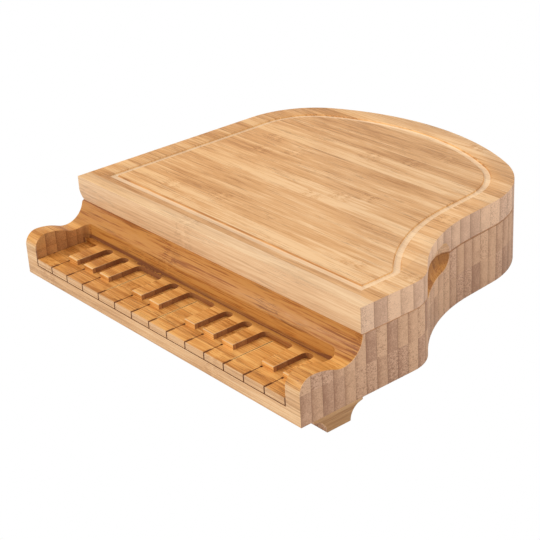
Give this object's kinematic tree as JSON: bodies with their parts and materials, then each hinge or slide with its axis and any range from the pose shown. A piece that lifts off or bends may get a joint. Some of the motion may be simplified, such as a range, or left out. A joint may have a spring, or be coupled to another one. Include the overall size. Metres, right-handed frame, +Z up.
{
  "type": "cutting board with storage base",
  "caption": "Laminated bamboo cutting board shaped like a small grand piano, its top a hinged lid with a juice groove over a base that stores cheese tools.",
  "frame": {"origin": "on the floor, under the middle of the plan box", "axes": "+X to the straight-sided board's right, +Y from the keys to the tail, +Z up"},
  "size_m": [0.345, 0.34, 0.0834],
  "materials": {
    "lid_bamboo": "oiled bamboo laminate, satin",
    "base_bamboo": "oiled bamboo laminate, satin, darker in the cuts",
    "zinc_steel": "bright zinc",
    "brass": "drawn brass, satin",
    "brass_screws": "polished brass",
    "pad_rubber": "soft matt",
    "tool_steel": "brushed along the blade",
    "ferrule_steel": "polished",
    "handle_wood": "turned and oiled"
  },
  "bodies": {
    "base": {"base_upper_board": "base_bamboo", "base_lower_board": "base_bamboo", "foot_front_left": "base_bamboo", "foot_front_right": "base_bamboo", "foot_tail": "base_bamboo", "foot_screws": "zinc_steel", "front_hinge_base_leaf": "brass", "front_hinge_pin": "brass", "back_hinge_base_leaf": "brass", "back_hinge_pin": "brass", "hinge_base_screws": "brass_screws", "lid_pads": "pad_rubber", "knife_blade": "tool_steel", "knife_ferrule": "ferrule_steel", "knife_handle": "handle_wood", "fork_tines": "tool_steel", "fork_ferrule": "ferrule_steel", "fork_handle": "handle_wood", "spade_blade": "tool_steel", "spade_ferrule": "ferrule_steel", "spade_handle": "handle_wood"},
    "lid": {"lid_board": "lid_bamboo", "front_hinge_lid_leaf": "brass", "back_hinge_lid_leaf": "brass", "hinge_lid_screws": "brass_screws"}
  },
  "joints": [
    {"name": "lid_hinge", "type": "hinge", "parent": "base", "child": "lid", "pos_m": [-0.1685, 0, 0.0626], "axis": [0, -1, 0], "range_deg": [0, 98]}
  ]
}
